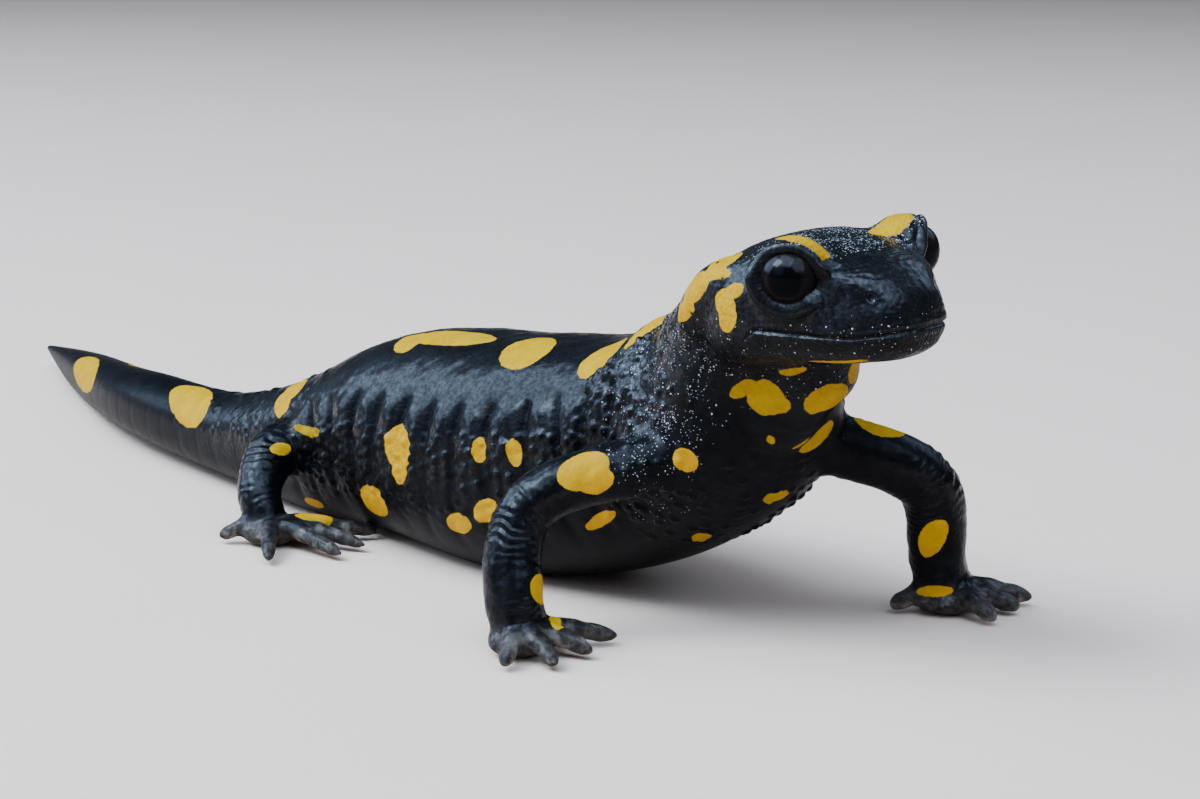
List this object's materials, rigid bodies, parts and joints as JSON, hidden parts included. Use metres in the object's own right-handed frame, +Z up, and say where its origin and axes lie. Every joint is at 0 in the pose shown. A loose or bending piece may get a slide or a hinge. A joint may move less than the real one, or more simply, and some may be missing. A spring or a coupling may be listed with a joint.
{
  "type": "fire salamander",
  "caption": "Life-size still model of a walking fire salamander with raised head, ribbed trunk, splayed legs and tapering tail; for display.",
  "frame": {"origin": "on the floor, on the flat under the middle of the belly", "axes": "+X forward along the trunk, +Y to the animal's left, +Z up"},
  "size_m": [0.1706, 0.0502, 0.0387],
  "materials": {
    "skin": "moist, glossy black skin with bright yellow patches",
    "eye": "polished, almost black"
  },
  "bodies": {
    "root": {"head": "skin", "lower_jaw": "skin", "neck": "skin", "torso": "skin", "tail_base": "skin", "tail_end": "skin", "upper_arm_right": "skin", "forearm_right": "skin", "hand_right": "skin", "upper_arm_left": "skin", "forearm_left": "skin", "hand_left": "skin", "thigh_right": "skin", "shin_right": "skin", "foot_right": "skin", "thigh_left": "skin", "shin_left": "skin", "foot_left": "skin", "eye_left": "eye", "eye_right": "eye"}
  },
  "joints": []
}
